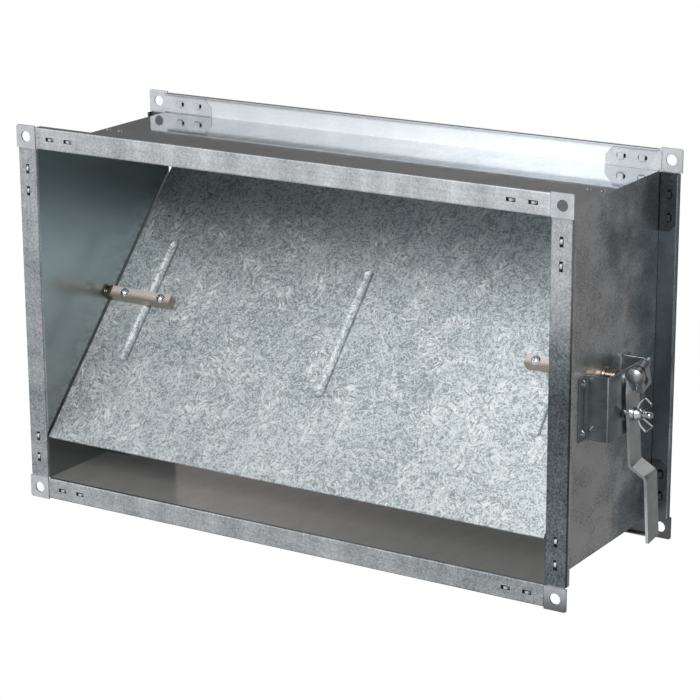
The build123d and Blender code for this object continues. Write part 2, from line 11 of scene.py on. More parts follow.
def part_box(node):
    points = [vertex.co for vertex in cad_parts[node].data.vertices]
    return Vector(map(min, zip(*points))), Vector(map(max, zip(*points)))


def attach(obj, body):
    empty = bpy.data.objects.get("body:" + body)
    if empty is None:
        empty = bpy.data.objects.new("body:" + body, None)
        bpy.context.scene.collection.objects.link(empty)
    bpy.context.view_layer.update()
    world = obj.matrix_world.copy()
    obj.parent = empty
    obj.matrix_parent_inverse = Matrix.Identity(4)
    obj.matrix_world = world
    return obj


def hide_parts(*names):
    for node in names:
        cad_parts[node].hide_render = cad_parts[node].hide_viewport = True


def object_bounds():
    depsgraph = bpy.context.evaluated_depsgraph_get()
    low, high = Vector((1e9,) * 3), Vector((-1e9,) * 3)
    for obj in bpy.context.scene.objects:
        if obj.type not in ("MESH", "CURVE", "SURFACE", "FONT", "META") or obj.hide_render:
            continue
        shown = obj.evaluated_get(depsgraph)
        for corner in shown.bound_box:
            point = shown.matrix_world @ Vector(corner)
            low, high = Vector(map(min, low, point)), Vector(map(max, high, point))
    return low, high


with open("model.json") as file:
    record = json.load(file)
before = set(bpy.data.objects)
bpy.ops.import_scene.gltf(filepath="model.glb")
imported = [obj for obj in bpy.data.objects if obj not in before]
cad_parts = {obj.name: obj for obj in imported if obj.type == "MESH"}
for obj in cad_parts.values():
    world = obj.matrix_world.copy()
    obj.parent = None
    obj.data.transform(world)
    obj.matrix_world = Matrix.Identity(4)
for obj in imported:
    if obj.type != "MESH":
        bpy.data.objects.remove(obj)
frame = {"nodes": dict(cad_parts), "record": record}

bl_info = {
    "name": "Duct Shutoff Damper",
    "version": (1, 0, 0),
    "blender": (4, 5, 0),
    "location": "View3D > Sidebar > Damper",
    "description": "Dresses the damper's solids in galvanised and plated finishes and sets its stage",
    "category": "Object",
}

CAD_BOX = [list(corner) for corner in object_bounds()]
CORNERS = tuple(name for name in frame["nodes"] if name.endswith("_corner"))
SHAFTS = ("left_shaft", "right_shaft")
BUSHES = ("left_bush", "right_bush", "left_collar", "right_collar")
BRIGHT_PLATED = (
    "shaft_clamp", "lock_washer", "shaft_screws", "shaft_nuts", "seam_rivets", "bracket_rivets",
)
PIVOT = Vector(frame["record"]["behaviour"]["joints"][0]["pos_m"])
PANEL_LOW, PANEL_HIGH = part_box("right_panel")
PLATE_LOW, PLATE_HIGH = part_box("front_top_right_corner")

# Grain of the plated pieces along x, y and z, in waves a metre
EVEN_GRAIN = (300.0, 300.0, 300.0)
BRACKET_GRAIN = (60.0, 60.0, 400.0)
LEVER_GRAIN = (900.0, 900.0, 60.0)
SHAFT_GRAIN = (80.0, 900.0, 900.0)

# Texture of the panels, in waves a metre: streaks and bands of strips along x or z, and a wall's scratches
STREAKS = {"X": (18.0, 260.0, 520.0), "Z": (520.0, 260.0, 18.0)}
BANDS = {"X": (34.0, 0.0, 0.0), "Z": (0.0, 0.0, 34.0)}
SCRATCHES = (90.0, 30.0, 40.0)

# The blade's three layers of crystals: width of a patch, length and width of a leaf, in flakes
LEAF_LAYERS = ((2.4, 1.8, 0.36), (1.7, 1.5, 0.3), (1.2, 1.1, 0.25))

# Painted highlight and painted shade lines along a groove, across from its middle: where each starts,
# is full, starts to fade and ends
GROOVE_LIGHT = (-0.005, -0.004, -0.0032, -0.0022)
GROOVE_SHADE = (0.0012, 0.0025, 0.0045, 0.0058)

# Angle past which an edge shades as sharp, angle past which it is rounded, and distance of merged points
SHARP_ANGLE = radians(32)
ROUNDED_ANGLE = radians(50)
MERGE = 1e-6

# Depth of a thread as a share of its pitch
THREAD_DEPTH = 0.3

# How one panel looks: the axis its strips run along, the zinc's brightness on the front strip's low end,
# middle and high end and on the back strip, which is painted reflection and painted light, how matte the
# back strip and the wall are, and the wall's colours at the low and the high end, a painted reflection and
# shade, roughness and mottling
Sheet = namedtuple("Sheet", "run low middle high back matte wall_matte wall_low wall_high gloss mottled")

# A soft patch of light in the room: the way to it, its full and faded angles in degrees, and its colour
Card = namedtuple("Card", "towards full faded colour")


class Wire:
    """A node's output, so that shader maths reads as a Python expression."""

    def __init__(self, tree, output=None):
        self.tree = tree
        self.output = output

    def node(self, kind, settings=None, sockets=None, out=0):
        """Adds a node: its settings first, then the values or links of its sockets. Wraps one output."""
        made = self.tree.nodes.new(kind)
        for name, value in (settings or {}).items():
            setattr(made, name, value)
        for key, value in (sockets or {}).items():
            self.feed(made.inputs[key], value)
        return Wire(self.tree, made.outputs[out] if made.outputs else None)

    def feed(self, socket, value):
        """Links a wire to a socket, or sets the socket's own value."""
        if isinstance(value, Wire):
            self.tree.links.new(value.output, socket)
        elif hasattr(socket.default_value, "__len__"):
            parts = tuple(value) if hasattr(value, "__len__") else (value,) * 3
            socket.default_value = (*parts, 1.0)[: len(socket.default_value)]
        else:
            socket.default_value = value

    def maths(self, operation, first, second):
        """A Math node on values, or a Vector Math node where either side is a vector or a colour."""
        wide = any(
            side.output.type in ("VECTOR", "RGBA") if isinstance(side, Wire) else isinstance(side, tuple)
            for side in (first, second)
        )
        kind = "ShaderNodeVectorMath" if wide else "ShaderNodeMath"
        return self.node(kind, {"operation": operation}, {0: first, 1: second})

    def __add__(self, other):
        return self.maths("ADD", self, other)

    def __radd__(self, other):
        return self.maths("ADD", other, self)

    def __sub__(self, other):
        return self.maths("SUBTRACT", self, other)

    def __rsub__(self, other):
        return self.maths("SUBTRACT", other, self)

    def __mul__(self, other):
        return self.maths("MULTIPLY", self, other)

    def __rmul__(self, other):
        return self.maths("MULTIPLY", other, self)

    def step(self, low, high):
        """A smooth step from 0 at low to 1 at high."""
        sockets = {"Value": self, "From Min": low, "From Max": high}
        return self.node("ShaderNodeMapRange", {"interpolation_type": "SMOOTHSTEP"}, sockets)

    def band(self, start, full, fading, end):
        """A smooth hump: up to 1 from start to full, and down to 0 from fading to end."""
        return self.step(start, full) * (1.0 - self.step(fading, end))

    def mix(self, first, second):
        """The first colour where this value is 0, the second where it is 1."""
        return self.node("ShaderNodeMix", {"data_type": "RGBA"}, {0: self, 6: first, 7: second}, out=2)

    def axis(self, letter):
        """One coordinate of a vector."""
        return self.node("ShaderNodeSeparateXYZ", None, {0: self}, out=letter)

    def dot(self, towards):
        """How far this vector points one way."""
        sockets = {0: self, 1: towards}
        return self.node("ShaderNodeVectorMath", {"operation": "DOT_PRODUCT"}, sockets, "Value")

    def noise(self, scale, detail=2.0, out=0):
        """Noise on this vector."""
        sockets = {"Vector": self, "Scale": scale, "Detail": detail}
        return self.node("ShaderNodeTexNoise", None, sockets, out)


def start_nodes(tree):
    """An empty tree's first wire, on Object coordinates."""
    tree.nodes.clear()
    return Wire(tree).node("ShaderNodeTexCoord", out="Object")


def crystals(place, flake):
    """Zinc crystals: each cell's random colour, and a leafy grain that runs its own way in each cell."""
    wander = place.noise(1.2 / flake, out="Color") - 0.5
    bent = place + wander * (1.2 * flake)
    cell = bent.node("ShaderNodeTexVoronoi", None, {"Vector": bent, "Scale": 1.0 / flake}, out="Color")
    turns = {"Vector": bent, "Rotation": cell * tau}
    turned = cell.node("ShaderNodeVectorRotate", {"rotation_type": "EULER_XYZ"}, turns)
    grain = (turned * (0.9 / flake, 3.6 / flake, 3.6 / flake)).noise(1.0, 3.0)
    return cell, grain


def leaves(plane, patch, length, width):
    """Long thin zinc crystals that run their own way in each patch of a plane: each one's random colour."""
    patches = plane.node("ShaderNodeTexVoronoi", None, {"Vector": plane, "Scale": 1.0 / patch}, out="Color")
    turns = {"Vector": plane, "Angle": patches.axis("X") * tau}
    aligned = plane.node("ShaderNodeVectorRotate", {"rotation_type": "Z_AXIS"}, turns)
    spread = aligned * (1.0 / length, 1.0 / width, 0.0)
    return spread.node("ShaderNodeTexVoronoi", None, {"Vector": spread, "Scale": 1.0}, out="Color")


def tilted(cell, tilt):
    """The surface's normal, leaned a little its own way in each crystal."""
    normal = cell.node("ShaderNodeNewGeometry", out="Normal")
    leaned = normal + (cell - 0.5) * tilt
    return leaned.node("ShaderNodeVectorMath", {"operation": "NORMALIZE"}, {0: leaned})


def material(name, recipe, *details):
    """A material whose recipe gives the values and wires of the shader's sockets."""
    made = bpy.data.materials.new(name)
    made.use_nodes = True
    place = start_nodes(made.node_tree)
    shader = place.node("ShaderNodeBsdfPrincipled", None, recipe(place, *details))
    place.node("ShaderNodeOutputMaterial", None, {"Surface": shader})
    return made


def paint(names, finish, rounding=0.0):
    """Gives CAD nodes a finish, and rounds their sharp edges, without touching their meshes."""
    for name in names:
        node = frame["nodes"][name]
        node.material_slots[0].material = finish
        if rounding:
            weld = node.modifiers.new("weld", "WELD")
            weld.merge_threshold = MERGE
            bevel = node.modifiers.new("rounding", "BEVEL")
            bevel.width = rounding
            bevel.segments = 2
            bevel.limit_method = "ANGLE"
            bevel.angle_limit = ROUNDED_ANGLE


def linked(name, data):
    """A new object at the origin, in the scene."""
    made = bpy.data.objects.new(name, data)
    bpy.context.scene.collection.objects.link(made)
    return made


def new_piece(name, shape, body, slot, finish, *stands_for):
    """Makes a finished shape an object that moves with a body and may stand for CAD nodes."""
    bmesh.ops.recalc_face_normals(shape, faces=shape.faces)
    mesh = bpy.data.meshes.new(name)
    shape.to_mesh(mesh)
    shape.free()
    mesh.shade_smooth()
    mesh.set_sharp_from_angle(angle=SHARP_ANGLE)
    mesh.materials.append(finish)
    piece = linked(name, mesh)
    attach(piece, body)
    if stands_for:
        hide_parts(*stands_for)
    return piece


def turned(profile, steps=48):
    """A shape spun about the x axis from points of how far along and how far out."""
    shape = bmesh.new()
    points = [shape.verts.new((along, 0.0, out)) for along, out in profile]
    edges = [shape.edges.new(pair) for pair in zip(points, points[1:])]
    bmesh.ops.spin(shape, geom=points + edges, cent=(0, 0, 0), axis=(1, 0, 0), angle=tau, steps=steps,
                   use_merge=True)
    bmesh.ops.remove_doubles(shape, verts=shape.verts, dist=MERGE)
    return shape


def standing(origin, along, up):
    """The place of a shape whose x axis runs along and whose z axis points up."""
    side = up.cross(along)
    return Matrix.Translation(origin) @ Matrix((along, side, up)).transposed().to_4x4()


def put(shape, place):
    """Moves a whole shape to its place."""
    bmesh.ops.transform(shape, matrix=place, verts=shape.verts)
    return shape


def dome(radius, rise, base, steps=7):
    """Profile of a domed head from its tip to its rim, with the head's flat at the base."""
    ball = (radius**2 + rise**2) / (2 * rise)
    reach = asin(radius / ball)
    turns = [reach * step / steps for step in range(steps + 1)]
    return [(base - rise + ball - ball * cos(turn), ball * sin(turn)) for turn in turns]


def thread(start, end, radius, pitch):
    """Profile of a thread between two places along a bolt."""
    points = []
    for turn in range(int((end - start) / pitch)):
        points.append((start + turn * pitch, radius))
        points.append((start + (turn + 0.5) * pitch, radius - THREAD_DEPTH * pitch))
    return points


def bolt(head, rise, flat, start, end, core, pitch):
    """Profile of a domed bolt: its head, a plain shank up to the thread's start, the thread and the tip."""
    shank = [(flat, core), (start, core)]
    tip = [(end - pitch, core - pitch / 3), (end, core - pitch), (end, 0.0)]
    return dome(head, rise, flat) + shank + thread(start, end - pitch, core, pitch) + tip


def add_prism(shape, sides, radius, start, depth):
    """Adds a capped prism along the x axis to a shape."""
    made = bmesh.ops.create_cone(
        shape, cap_ends=True, segments=sides, radius1=radius, radius2=radius, depth=depth
    )["verts"]
    middle = Matrix.Translation((start + depth / 2, 0, 0)) @ Matrix.Rotation(tau / 4, 4, "Y")
    bmesh.ops.transform(shape, matrix=middle, verts=made)


def colour(name, description, default):
    return FloatVectorProperty(name=name, description=description, subtype="COLOR", size=3, default=default)


def distance(name, description, default):
    return FloatProperty(name=name, description=description, unit="LENGTH", default=default, precision=4)


def angle(name, description, degrees):
    return FloatProperty(name=name, description=description, subtype="ANGLE", default=radians(degrees))


def share(name, description, default):
    return FloatProperty(
        name=name, description=description, subtype="FACTOR", default=default, min=0, max=1
    )


def amount(name, description, default):
    return FloatProperty(name=name, description=description, default=default)


def point(name, description, default):
    return FloatVectorProperty(
        name=name, description=description, subtype="TRANSLATION", size=3, default=default
    )


class CasingLook(bpy.types.PropertyGroup):
    """Finish of the folded casing panels."""

    tint: colour("Tint", "Tinge of clean zinc", (0.97, 1.0, 1.02))
    cold: colour("Cold", "Tinge of the darkest zinc", (0.86, 0.99, 1.07))
    bloom: colour("Bloom", "Dark mottling that grows in from the back edge", (0.4, 0.46, 0.5))
    flake: distance("Flake", "Width of a zinc crystal", 0.006)
    strip: distance("Strip", "Depth of the flange strips' faces", 0.0024)
    strip_gloss: share("Strip roughness", "Roughness of the flange strips", 0.34)
    fade: distance("Fade", "Width of the change from a strip to its wall", 0.001)
    blotches: amount("Blotches", "Blotches on the strips, in waves a metre", 45.0)
    speckles: amount("Speckles", "Fine speckle, in waves a metre", 700.0)
    clouds: amount("Clouds", "Clouds in the mottling, in waves a metre", 22.0)


class PlateLook(bpy.types.PropertyGroup):
    """Finish of the pressed corner plates."""

    zinc: colour("Zinc", "Colour of the pressed plate", (0.86, 0.87, 0.89))
    dull: colour("Dull", "Colour of its duller crystals", (0.66, 0.68, 0.71))
    flake: distance("Flake", "Width of a zinc crystal", 0.004)
    gloss: share("Roughness", "Roughness of the plate", 0.32)
    # Painted shade on the back flange's lower plates
    shaded: share("Shaded", "How much darker the back flange's lower plates are", 0.82)
    # Painted shade on the front flange's lower right plate, growing towards its foot
    painted_front_shade: share("Painted front shade", "How much darker the front flange's lower right plate is", 0.45)
    painted_shade_fall: share("Painted shade fall", "How much that grows from the plate's top to its foot", 0.55)
    square: distance("Square", "Height of a plate's square", 0.02)
    patches: amount("Patches", "Dull patches, in waves a metre", 60.0)
    tilt: share("Tilt", "How far each crystal's face leans", 0.06)
    matte: share("Matte", "How matte the back flange's upper plates are", 0.8)
    # Painted shade on the back flange's upper plates, set against their matte finish
    painted_upper_shade: share("Painted upper shade", "How much darker those upper plates are", 0.16)
    rounding: distance("Rounding", "Radius of the plate's sheared edges", 0.0003)


class ClinchLook(bpy.types.PropertyGroup):
    """Straps pressed into the clinches of the flange strips, over dark pits of painted shadow."""

    edge: distance("Edge", "Width of a corner plate outside the duct", 0.02)
    middle: distance("Middle", "Middle of a strip from the duct's edge", 0.0095)
    first_across: distance("First across", "First clinch from the duct's side", 0.0155)
    first_up: distance("First up", "First clinch from the duct's top", 0.0185)
    pitch: distance("Pitch", "Spacing of two clinches", 0.0195)
    length: distance("Length", "Length of a strap", 0.0056)
    window_length: distance("Window length", "Length of the window under a strap", 0.0086)
    window_width: distance("Window width", "Width of the window under a strap", 0.0036)
    width: distance("Width", "Width of a strap", 0.0022)
    face: distance("Face", "Depth of the strip's face behind the corner plate's", 0.0006)
    # Painted shadow: colour and roughness of the dark sheet under each strap
    shadow: colour("Shadow", "Colour of the depth under a strap", (0.03, 0.03, 0.032))
    shadow_gloss: share("Shadow roughness", "Roughness of that depth", 0.5)
    dip: distance("Dip", "How far a strap's ends and its pit are pressed in", 0.0016)
    rise: distance("Rise", "How far a strap's middle stands proud", 0.0005)
    sheet: distance("Sheet", "Thickness of a strap", 0.0006)


class BladeLook(bpy.types.PropertyGroup):
    """Finish of the spangled blade."""

    bright: colour("Bright", "Colour of the brightest crystals", (0.9, 0.96, 0.975))
    deep: colour("Deep", "Colour of the darkest crystals", (0.38, 0.435, 0.45))
    fleck: colour("Fleck", "Colour of the scattered bright flecks", (1.0, 1.0, 0.98))
    edge: colour("Edge", "Colour of the blade's cut side edges", (0.3, 0.24, 0.22))
    groove_half: distance("Groove half", "Half the length of a groove", 0.0625)
    groove_spacing: distance("Groove spacing", "Distance of the outer grooves from the middle one", 0.208)
    flake: distance("Flake", "Size of a zinc crystal", 0.0039)
    gloss: share("Roughness", "Middle roughness of the crystals", 0.52)
    metal: share("Metal", "How metallic the crystals are", 0.7)
    tilt: share("Tilt", "How far each crystal's face leans", 0.12)
    grain: amount("Grain", "Fine grain, in waves a metre", 800.0)
    drift: amount("Drift", "Slow change of tone, in waves a metre", 14.0)
    clusters: amount("Clusters", "Clusters of flecks, in waves a metre", 40.0)
    # Painted highlight on a groove's left line and painted shade on its right line
    groove_light: share("Groove light", "How much brighter a groove's left line is", 0.2)
    groove_shade: share("Groove shade", "How much darker its right line is", 0.5)


class FittingLook(bpy.types.PropertyGroup):
    """Finishes of the bracket, the lever, the shafts and the fasteners."""

    bracket: colour("Bracket", "Galvanised bracket", (0.42, 0.47, 0.48))
    lever: colour("Lever", "Zinc-plated flat bar", (0.95, 0.96, 0.95))
    yellow: colour("Yellow", "Yellow passivated zinc", (0.84, 0.75, 0.67))
    pink: colour("Pink", "Pink tinge in the passivation", (0.9, 0.8, 0.79))
    # Bronze is the bushes' own colour; on the shafts it is also painted shade on the lower side and inner
    # end
    bronze: colour("Bronze", "Darkest passivated zinc", (0.3, 0.25, 0.19))
    # Painted shade: the dark end of each shaft by the wall, and that end's length
    ring: colour("Painted wall shade", "Dark zinc of the shafts by the walls", (0.09, 0.075, 0.06))
    painted_shade_length: distance("Painted shade length", "Length of that dark end inside the blade's edge", 0.004)
    shaft_half: distance("Shaft half", "Half the width of the square shafts", 0.005)
    shaft_metal: share("Shaft metal", "How metallic the passivated shafts are", 0.3)
    bright: colour("Bright", "Bright zinc on fasteners", (0.78, 0.8, 0.83))
    dull: colour("Dull", "Dull zinc on the clamp bolt", (0.52, 0.55, 0.56))
    # Painted shade in the wing nut's hollows
    hollow: colour("Hollow", "Dark zinc in the wing nut's hollows", (0.22, 0.235, 0.24))
    gloss: share("Roughness", "Roughness of bright zinc", 0.2)
    bracket_gloss: share("Bracket roughness", "Roughness of the bracket", 0.36)
    lever_gloss: share("Lever roughness", "Roughness of the lever", 0.34)
    shaft_gloss: share("Shaft roughness", "Roughness of the shafts", 0.34)
    bush_gloss: share("Bush roughness", "Roughness of the bushes and collars", 0.3)
    dull_gloss: share("Dull roughness", "Roughness of the clamp bolt", 0.42)
    hollow_gloss: share("Hollow roughness", "Roughness of the wing nut's hollows", 0.35)
    worn: share("Worn", "Brightness of the bracket's duller patches", 0.85)
    rubbed: share("Rubbed", "Brightness of the lever's duller patches", 0.88)
    clouded: share("Clouded", "Brightness of bright zinc's duller patches", 0.8)
    rounding: distance("Rounding", "Radius of sheared edges", 0.0005)


class FastenerLook(bpy.types.PropertyGroup):
    """Sizes of the clamp's bolt and nut, the lock bolt and its wing nut."""

    clamp_lean: angle("Clamp lean", "Lean of the clamp bolt from level", 18.0)
    clamp_height: distance("Clamp height", "Clamp bolt's height over the shaft", 0.00774)
    clamp_half: distance("Clamp half", "Half the clamp's grip on its bolt", 0.0083)
    clamp_head: distance("Clamp head", "Radius of the clamp bolt's head", 0.0078)
    clamp_rise: distance("Clamp rise", "Height of the clamp bolt's head", 0.0036)
    clamp_shank: distance("Clamp shank", "Radius of the clamp bolt", 0.0025)
    clamp_flange: distance("Clamp flange", "Radius of the clamp nut's flange", 0.0052)
    clamp_flange_sheet: distance("Clamp flange sheet", "Thickness of that flange", 0.0013)
    clamp_flats: distance("Clamp flats", "Width of the clamp nut over its flats", 0.008)
    clamp_nut: distance("Clamp nut", "Height of the clamp nut", 0.004)
    clamp_nut_edge: distance("Clamp nut edge", "Rounding of the clamp nut's edges", 0.0004)
    clamp_end: distance("Clamp end", "Length of bolt beyond the clamp nut", 0.007)
    pitch: distance("Pitch", "Pitch of the threads", 0.0009)
    lock_shank: distance("Lock shank", "Radius of the lock bolt", 0.003)
    lock_head: distance("Lock head", "Radius of the lock bolt's head", 0.0074)
    lock_rise: distance("Lock rise", "Height of the lock bolt's head", 0.0034)
    lever_tilt: angle("Lever tilt", "Lean of the lever from upright", 7.0)
    bore_gap: distance("Bore gap", "Room between the wing nut and its bolt", 0.0001)
    hub: distance("Hub", "Radius of the wing nut's hub at its foot", 0.006)
    hub_top: distance("Hub top", "Radius of the hub at its top", 0.0048)
    hub_height: distance("Hub height", "Height of the hub", 0.006)
    hub_foot_edge: distance("Hub foot edge", "Chamfer of the hub's foot", 0.0004)
    hub_top_edge: distance("Hub top edge", "Chamfer of the hub's top", 0.0006)
    wing_span: distance("Wing span", "Span of the two wings", 0.031)
    wing_height: distance("Wing height", "Height of the wings over the hub's foot", 0.015)
    lock_end: distance("Lock end", "End of the lock bolt over the hub's foot", 0.0142)
    wing_foot: distance("Wing foot", "Start of a wing over the hub's foot and out of its bore", 0.0006)
    wing_belly: distance("Wing belly", "How far out a wing swells near its foot", 0.0107)
    wing_belly_rise: share("Wing belly rise", "Where it swells, as a share of the way to the tip", 0.4)
    wing_sheet: distance("Wing sheet", "Thickness of a wing at its rim", 0.002)
    wing_dish: distance("Wing dish", "Depth of the hollow in a wing's side", 0.0005)
    wing_rim: distance("Wing rim", "Width of the rim round that hollow", 0.0011)
    wing_corner: distance("Wing corner", "Radius of a wing's tip corners", 0.0016)
    wing_tip: distance("Wing tip", "Where a wing's tip starts, from the hub's foot", 0.0082)
    wing_drop: distance("Wing drop", "How far a wing's tip slants in", 0.0058)


class StageLook(bpy.types.PropertyGroup):
    """Floor, light and camera."""

    ground: colour("Ground", "Pale ground under and behind the part", (1.0, 1.0, 1.0))
    floor_half: distance("Floor half", "Half the floor's width", 4.0)
    floor_gap: distance("Floor gap", "Room between the part and the floor", 0.0005)
    gloom: colour("Gloom", "The room's darkest tone", (0.07, 0.07, 0.072))
    key_power: amount("Key", "Power of the light in watts", 34.0)
    key_size: distance("Key size", "Width of the light", 0.7)
    key_stand: point("Key stand", "The light's place", (0.9, -2.0, 1.3))
    key_aim: point("Key aim", "The point the light faces", (0.0, 0.05, 0.0))
    lens: amount("Lens", "Focal length in millimetres", 129.74)
    turn: angle("Turn", "Camera's angle round the part", 31.991)
    rise: angle("Rise", "Camera's angle above the part", 16.193)
    roll: angle("Roll", "Camera's lean", -0.243)
    stand: point("Stand", "Camera's place", (1.1126, -1.6701, 0.5893))


def casing_zinc(place, look, sheet):
    """Folded sheet: streaked strips, smooth walls, painted reflection and light, mottling from the back
    edge.
    """
    cell, grain = crystals(place, look.flake)
    along = place.axis("Y")
    front_edge = PANEL_LOW.y + look.strip
    back_edge = PANEL_HIGH.y - look.strip
    front = 1.0 - along.step(front_edge, front_edge + look.fade)
    back = along.step(back_edge - look.fade, back_edge)
    on_strip = front + back
    reach = place.axis(sheet.run)
    half = PLATE_LOW.x if sheet.run == "X" else PLATE_LOW.z
    rising = reach.step(-half, 0.0)
    topping = reach.step(0.0, half)
    rise = reach.step(-half, half)
    # Painted reflection: the front strip's brightness changes from its low end to its middle and high end
    front_painted_reflection = sheet.low + rising * (sheet.middle - sheet.low) + topping * (sheet.high - sheet.middle)
    streaks = (place * STREAKS[sheet.run]).noise(1.0, 4.0)
    bands = (place * BANDS[sheet.run]).noise(1.0, 3.0).step(0.3, 0.7)
    blotch = place.noise(look.blotches, 5.0)
    speckle = place.noise(look.speckles, 2.0).step(0.3, 0.7) - 0.5
    rough = (1.0 - front_painted_reflection) * ((grain - 0.5) * 1.3 + speckle * 0.7)
    texture = 0.3 + streaks * 0.4 + blotch * 0.5 + bands * 0.25 + rough
    # Painted light: the back strip's brightness, rising along its run
    back_painted_light = (texture * 0.22 + 0.8) * (rise * 0.25 + 0.8) * sheet.back
    strip_texture_and_painted_light = front_painted_reflection * texture * 1.15 * (1.0 - back) + back * back_painted_light
    # The darker the painted strip tone, the more of the cold tinge it takes
    cold = strip_texture_and_painted_light.step(0.1, 0.6).mix(look.cold[:], look.tint[:])
    cloud = place.noise(look.clouds, 8.0)
    mottle = (cloud + grain * 0.4 + along.step(0.06, 0.17) * 0.4).step(0.75, 1.15) * sheet.mottled
    # Painted reflection and shade: the wall's colour changes from its low to its high end
    wall = mottle.mix(rise.mix(sheet.wall_low, sheet.wall_high), look.bloom[:])
    scratches = (place * SCRATCHES).noise(1.0, 8.0).step(0.3, 0.7) - 0.5
    wall = wall * (1.0 + (scratches * 0.4 + speckle * 0.5 + (grain - 0.5) * 0.5) * sheet.mottled)
    varied = (cell.axis("X") - 0.5) * (0.08 * sheet.mottled)
    return {
        "Base Color": on_strip.mix(wall, strip_texture_and_painted_light * cold),
        "Metallic": 1.0 - back * sheet.matte - (1.0 - on_strip) * sheet.wall_matte,
        "Roughness": sheet.gloss + on_strip * (look.strip_gloss - sheet.gloss) + varied,
        "Normal": tilted(cell, sheet.gloss * sheet.mottled * 0.1),
    }


def plate_zinc(place, look):
    """Pressed plate: fine crystals, a little duller here and there, and painted shade on some of the plates.
    """
    cell, grain = crystals(place, look.flake)
    patch = place.noise(look.patches, 4.0)
    zinc = (grain * 0.5 + patch * 0.6).step(0.35, 0.8).mix(look.dull[:], look.zinc[:])
    behind = place.axis("Y").step(PIVOT.y - 0.01, PIVOT.y + 0.01)
    height = place.axis("Z")
    square_foot = PLATE_HIGH.z - look.square
    lower = 1.0 - height.step(square_foot - 0.001, square_foot + 0.001)
    rightmost = place.axis("X").step(0.0, PLATE_HIGH.x)
    # Painted shade on plates by where they sit: upper and lower at the back, lower right at the front
    painted_upper_shade = behind * (1.0 - lower) * look.painted_upper_shade
    sunk = 1.0 - height.step(-PLATE_HIGH.z, -square_foot)
    painted_front_shade = (1.0 - behind) * lower * rightmost * (look.painted_front_shade + (sunk - 0.5) * look.painted_shade_fall)
    shaded = behind * lower * look.shaded + painted_front_shade + painted_upper_shade
    return {
        "Base Color": zinc * (1.0 - shaded),
        "Metallic": 1.0 - behind * (1.0 - lower) * look.matte,
        "Roughness": look.gloss + (cell.axis("X") - 0.5) * 0.12,
        "Normal": tilted(cell, look.tilt),
    }


def blade_zinc(place, look):
    """Leafy spangle of long bright and deep crystals, with painted light, shade and groove lines, and cut
    edges.
    """
    low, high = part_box("blade")
    slope = {"Vector": place, "Angle": -atan2(high.z - low.z, high.y - low.y)}
    plane = place.node("ShaderNodeVectorRotate", {"rotation_type": "X_AXIS"}, slope)
    bent = plane + (plane.noise(200.0, 3.0, out="Color") - 0.5) * (look.flake * 0.7)
    layers = [leaves(bent, *(look.flake * part for part in layer)) for layer in LEAF_LAYERS]
    first, second, third = layers
    grain = place.noise(look.grain, 3.0) - 0.5
    drift = place.noise(look.drift, 4.0) - 0.5
    leafy = first.axis("X") + second.axis("X") + third.axis("X")
    tone = leafy * 0.28 + grain * 1.1 + drift * 0.4 + 0.12
    cluster = place.noise(look.clusters, 3.0).step(0.42, 0.62)
    fleck = (first.axis("Y").step(0.76, 0.86) * 0.8 + second.axis("Y").step(0.8, 0.9) * 0.5) * cluster
    base = tone.step(0.22, 0.8).mix(look.deep[:], look.bright[:])
    reach = place.axis("X")
    height = place.axis("Z")
    # Painted light and shade: brighter to the right, brightest at middle height, much darker towards the top
    across = reach.step(low.x, high.x) * 0.16 + 0.86
    up = height.step(low.z, 0.0) * 0.16 - height.step(0.0, high.z) * 0.5 + 0.84
    lit = across * up
    # Painted highlight and painted shade along each groove's flanks
    offset = plane.axis("Y") - (Matrix.Rotation(slope["Angle"], 4, "X") @ PIVOT).y
    beside = 1.0 - (offset * offset).step((look.groove_half - 0.002) ** 2, look.groove_half**2)
    for middle in (-look.groove_spacing, 0.0, look.groove_spacing):
        gap = reach - middle
        lines = gap.band(*GROOVE_LIGHT) * look.groove_light - gap.band(*GROOVE_SHADE) * look.groove_shade
        lit = lit * (1.0 + beside * lines)
    edge = (reach * reach).step((high.x - 0.0004) ** 2, (high.x - 0.0001) ** 2)
    return {
        "Base Color": edge.mix(lit * fleck.mix(base, look.fleck[:]), look.edge[:]),
        "Metallic": look.metal - fleck * 0.5,
        "Roughness": look.gloss + (second.axis("Z") - 0.5) * 0.16,
        "Normal": tilted(third, look.tilt),
    }


def brushed(place, run):
    """A plated piece's fine grain: its shade, how it changes the roughness, and soft patches."""
    fine = (place * run).noise(1.0, 2.0)
    shade = fine.step(0.2, 0.8) * 0.2 + 0.82
    patch = place.noise(90.0, 3.0).step(0.35, 0.7)
    return shade, (fine - 0.5) * 0.14, patch


def plated_steel(place, tone, second, gloss, run):
    """Plated steel with a fine grain along one axis and soft patches of a second tone."""
    shade, varied, patch = brushed(place, run)
    return {
        "Base Color": shade * patch.mix(tone[:], second[:]),
        "Metallic": 1.0,
        "Roughness": gloss + varied,
    }


